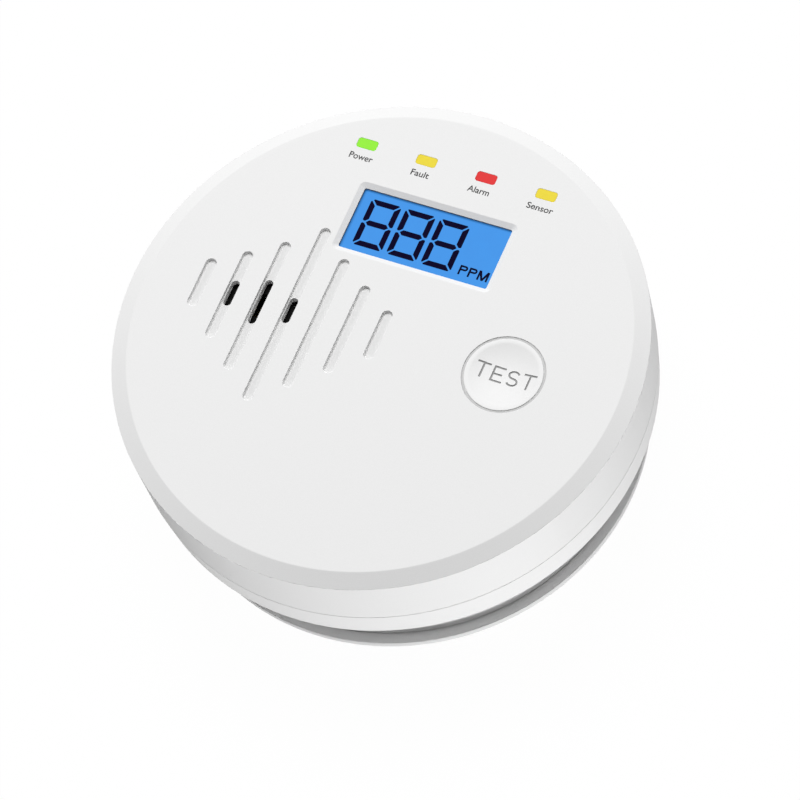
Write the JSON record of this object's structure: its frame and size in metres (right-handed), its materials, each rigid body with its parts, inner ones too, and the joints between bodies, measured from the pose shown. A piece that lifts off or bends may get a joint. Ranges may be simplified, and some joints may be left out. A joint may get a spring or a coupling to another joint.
{
  "type": "carbon monoxide alarm",
  "caption": "Round battery carbon monoxide alarm with a backlit display, indicator lights, sounder grille and test button, on a twist-off wall plate.",
  "frame": {"origin": "middle of the wall plate's back face", "axes": "+Z out of the alarm's face, +Y towards the indicator lights, +X to the right of someone who faces it"},
  "size_m": [0.1, 0.1, 0.0343],
  "materials": {
    "shell_white": "fine satin texture",
    "plate_white": "fine satin texture",
    "button_white": "smooth satin",
    "display_blue": "backlit blue display behind a smooth polariser",
    "diffuser_milky": "milky light guide",
    "holder_white": "moulded",
    "strip_grey": "silicone",
    "light_green": "tinted light pipe, lit green",
    "light_yellow": "tinted light pipe, lit yellow",
    "light_red": "tinted light pipe, lit red",
    "led_body": "moulded lamp body",
    "board_green": "solder mask",
    "component_black": "moulded",
    "ferrite_grey": "sintered ferrite",
    "capacitor_can": "sleeved can",
    "steel": "bright plated",
    "brass": "rolled sheet",
    "cell_jacket": "plain printed jacket",
    "lead_red": "insulated lead",
    "lead_black": "insulated lead"
  },
  "bodies": {
    "wall_plate": {"mounting_plate": "plate_white"},
    "head": {"alarm_led": "led_body", "alarm_light_pipe": "light_red", "battery_1": "cell_jacket", "battery_2": "cell_jacket", "battery_3": "cell_jacket", "battery_lead_black": "lead_black", "battery_lead_red": "lead_red", "battery_spring_1": "steel", "battery_spring_2": "steel", "battery_spring_3": "steel", "board_screw_1": "steel", "board_screw_2": "steel", "board_screw_3": "steel", "capacitor": "capacitor_can", "fault_led": "led_body", "fault_light_pipe": "light_yellow", "front_cover": "shell_white", "gas_sensor_can": "steel", "gas_sensor_cap": "holder_white", "housing_screw_1": "steel", "housing_screw_2": "steel", "housing_screw_3": "steel", "housing_screw_4": "steel", "lcd_backlight": "diffuser_milky", "lcd_glass": "display_blue", "lcd_holder": "holder_white", "lcd_zebra_strip": "strip_grey", "link_contact_1": "steel", "link_contact_2": "steel", "main_board": "board_green", "microcontroller": "component_black", "negative_contact": "steel", "piezo_disc": "brass", "positive_contact": "steel", "power_led": "led_body", "power_light_pipe": "light_green", "rear_housing": "shell_white", "sensor_led": "led_body", "sensor_light_pipe": "light_yellow", "sounder_case": "component_black", "step_up_coil": "ferrite_grey", "tact_switch_body": "component_black"},
    "button": {"test_button": "button_white"},
    "switch_plunger": {"tact_switch_plunger": "holder_white"}
  },
  "joints": [
    {"name": "head_twist", "type": "hinge", "parent": "wall_plate", "child": "head", "pos_m": [0, 0, 0], "axis": [0, 0, 1], "range_deg": [0, 15]},
    {"name": "button_press", "type": "slide", "parent": "head", "child": "button", "axis": [0, 0, -1], "range_m": [0, 0.0008], "stiffness_N_per_m": 2000},
    {"name": "plunger_travel", "type": "slide", "parent": "head", "child": "switch_plunger", "axis": [0, 0, -1], "range_m": [0, 0.0008]}
  ],
  "couplings": [
    {"joint": "plunger_travel", "follows": "button_press", "ratio": 1}
  ]
}
